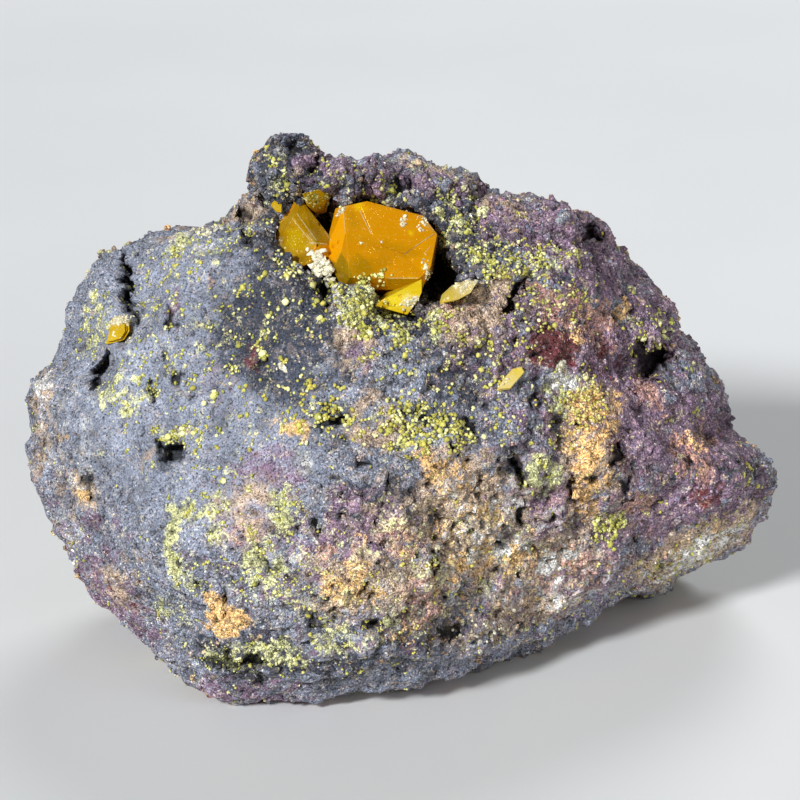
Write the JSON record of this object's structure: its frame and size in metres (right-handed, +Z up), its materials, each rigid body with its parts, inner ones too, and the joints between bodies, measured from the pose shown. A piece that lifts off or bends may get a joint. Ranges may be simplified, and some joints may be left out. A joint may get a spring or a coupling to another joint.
{
  "type": "wulfenite and mimetite mineral specimen",
  "caption": "Free-standing hand specimen of dark, rough gossan with an orange wulfenite cluster in a hollow near its top and yellow-green mimetite crusts over its display face.",
  "frame": {"origin": "middle of the bounding box of the flat-cut patches that the rock rests on", "axes": "+Z up, +X to the right along the specimen's length, -Y out of the display face, which leans back by 20 degrees"},
  "size_m": [0.0778, 0.0562, 0.0528],
  "materials": {
    "gossan": "matte",
    "wulfenite": "gloss",
    "mimetite": "satin"
  },
  "bodies": {
    "root": {"matrix": "gossan", "wulfenite_cluster": "wulfenite", "wulfenite_back": "wulfenite", "wulfenite_left_tip": "wulfenite", "wulfenite_vug_blade": "wulfenite", "wulfenite_crack": "wulfenite", "wulfenite_lower_blade": "wulfenite", "mimetite_mound_crust": "mimetite", "mimetite_right_of_vug": "mimetite", "mimetite_below_vug": "mimetite", "mimetite_middle_crust": "mimetite", "mimetite_upper_band": "mimetite", "mimetite_orange_patch": "mimetite", "mimetite_right_cluster": "mimetite"}
  },
  "joints": []
}
